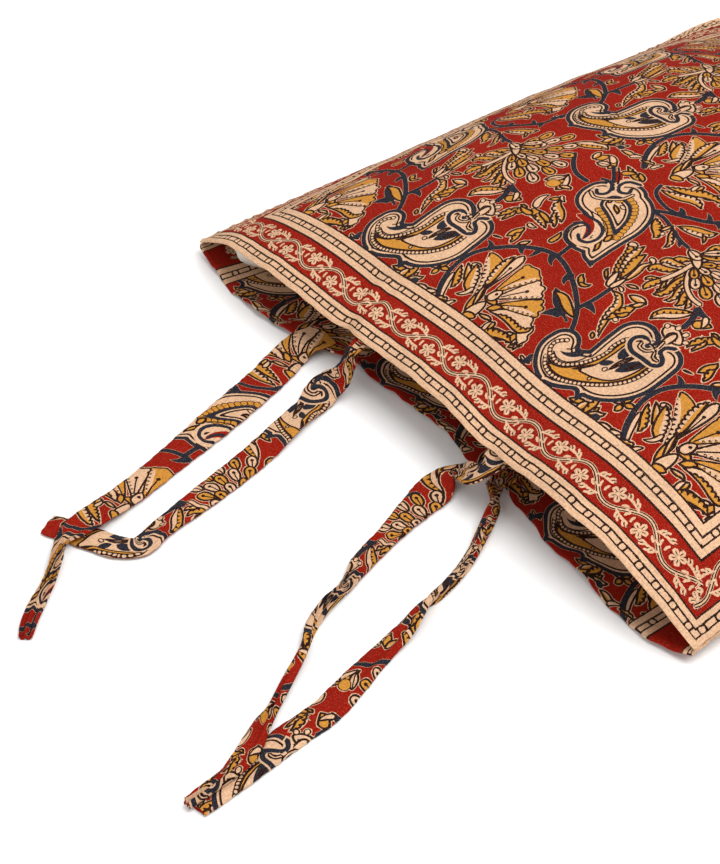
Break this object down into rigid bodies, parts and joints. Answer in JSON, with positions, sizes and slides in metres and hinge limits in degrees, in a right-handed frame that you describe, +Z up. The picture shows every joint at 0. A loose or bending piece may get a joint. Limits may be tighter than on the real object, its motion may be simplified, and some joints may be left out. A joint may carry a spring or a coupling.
{
  "type": "cushion cover with tie closure, filled with its pad",
  "caption": "Square printed cotton cushion cover, plump on its pad and lying on its back, with an open mouth along one side and pairs of cloth ties.",
  "frame": {"origin": "on the surface that the cover rests on, under the flat middle of the back panel", "axes": "+X along the mouth to the right, +Y from the mouth to the closed side, +Z up out of the front panel"},
  "size_m": [0.4001, 0.6205, 0.0861],
  "materials": {
    "front_print": "plain woven cotton, block printed in madder red, beige, mustard and navy",
    "back_print": "the same printed cotton, paler on its wrong side",
    "tie_print": "folded and stitched strips of the same printed cotton",
    "pad_cotton": "unbleached plain cotton"
  },
  "bodies": {
    "root": {"front_panel": "front_print", "back_panel": "back_print", "inner_pad": "pad_cotton", "tie_a": "tie_print", "tie_b": "tie_print", "tie_c": "tie_print", "tie_d": "tie_print"}
  },
  "joints": []
}
